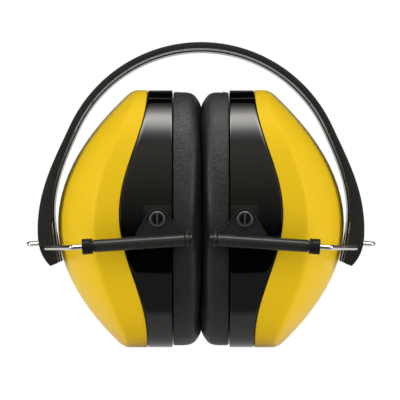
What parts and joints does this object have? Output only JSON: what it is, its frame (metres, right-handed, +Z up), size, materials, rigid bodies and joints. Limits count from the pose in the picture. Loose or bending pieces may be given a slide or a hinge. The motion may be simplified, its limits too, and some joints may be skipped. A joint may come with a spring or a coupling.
{
  "type": "folding earmuff hearing protector",
  "caption": "Folding earmuff hearing protector: padded cups on wire stirrups and sliding arms, hinged in the ends of an arched headband, stored folded.",
  "frame": {"origin": "centre of the folded part on the surface it stands on", "axes": "+X from the left cup to the right cup, +Y from front to rear, +Z up"},
  "size_m": [0.1434, 0.0922, 0.1241],
  "materials": {
    "band_black": "semi-gloss moulded",
    "wire": "polished",
    "shell_yellow": "glossy",
    "housing_black": "high gloss",
    "acoustic_foam": "open-cell foam",
    "plate": "moulded",
    "cushion_foam": "soft foam",
    "leatherette": "fine grain",
    "arm_black": "satin",
    "cap_rubber": "matt"
  },
  "bodies": {
    "headband": {"headband": "band_black"},
    "left_stirrup": {"left_stirrup_wire": "wire"},
    "left_arms": {"left_front_arm": "arm_black", "left_front_friction_cap": "cap_rubber", "left_front_end_ring": "arm_black", "left_rear_arm": "arm_black", "left_rear_friction_cap": "cap_rubber", "left_rear_end_ring": "arm_black"},
    "left_cup": {"left_cup_shell": "shell_yellow", "left_cup_housing": "housing_black", "left_acoustic_foam": "acoustic_foam", "left_seat_plate": "plate", "left_cushion_foam": "cushion_foam", "left_cushion_skin": "leatherette", "left_front_pivot_stud": "housing_black", "left_rear_pivot_stud": "housing_black"},
    "right_stirrup": {"right_stirrup_wire": "wire"},
    "right_arms": {"right_front_arm": "arm_black", "right_front_friction_cap": "cap_rubber", "right_front_end_ring": "arm_black", "right_rear_arm": "arm_black", "right_rear_friction_cap": "cap_rubber", "right_rear_end_ring": "arm_black"},
    "right_cup": {"right_cup_shell": "shell_yellow", "right_cup_housing": "housing_black", "right_acoustic_foam": "acoustic_foam", "right_seat_plate": "plate", "right_cushion_foam": "cushion_foam", "right_cushion_skin": "leatherette", "right_front_pivot_stud": "housing_black", "right_rear_pivot_stud": "housing_black"}
  },
  "joints": [
    {"name": "left_fold", "type": "hinge", "parent": "headband", "child": "left_stirrup", "pos_m": [-0.0624, 0, 0.04056], "axis": [0, 1, 0], "range_deg": [0, 82]},
    {"name": "left_extend", "type": "slide", "parent": "left_stirrup", "child": "left_arms", "axis": [0.9978, 0, 0.0658], "range_m": [0, 0.0136]},
    {"name": "left_tilt", "type": "hinge", "parent": "left_arms", "child": "left_cup", "pos_m": [-0.0172, 0, 0.0525], "axis": [0, 1, 0], "range_deg": [-82, 0]},
    {"name": "right_fold", "type": "hinge", "parent": "headband", "child": "right_stirrup", "pos_m": [0.0624, 0, 0.04056], "axis": [0, -1, 0], "range_deg": [0, 82]},
    {"name": "right_extend", "type": "slide", "parent": "right_stirrup", "child": "right_arms", "axis": [-0.9978, 0, 0.0658], "range_m": [0, 0.0136]},
    {"name": "right_tilt", "type": "hinge", "parent": "right_arms", "child": "right_cup", "pos_m": [0.0172, 0, 0.0525], "axis": [0, -1, 0], "range_deg": [-82, 0]}
  ],
  "couplings": [
    {"joint": "left_extend", "follows": "left_fold", "m_per_rad": 0.0095},
    {"joint": "left_tilt", "follows": "left_fold", "ratio": -1},
    {"joint": "right_extend", "follows": "right_fold", "m_per_rad": 0.0095},
    {"joint": "right_tilt", "follows": "right_fold", "ratio": -1}
  ]
}
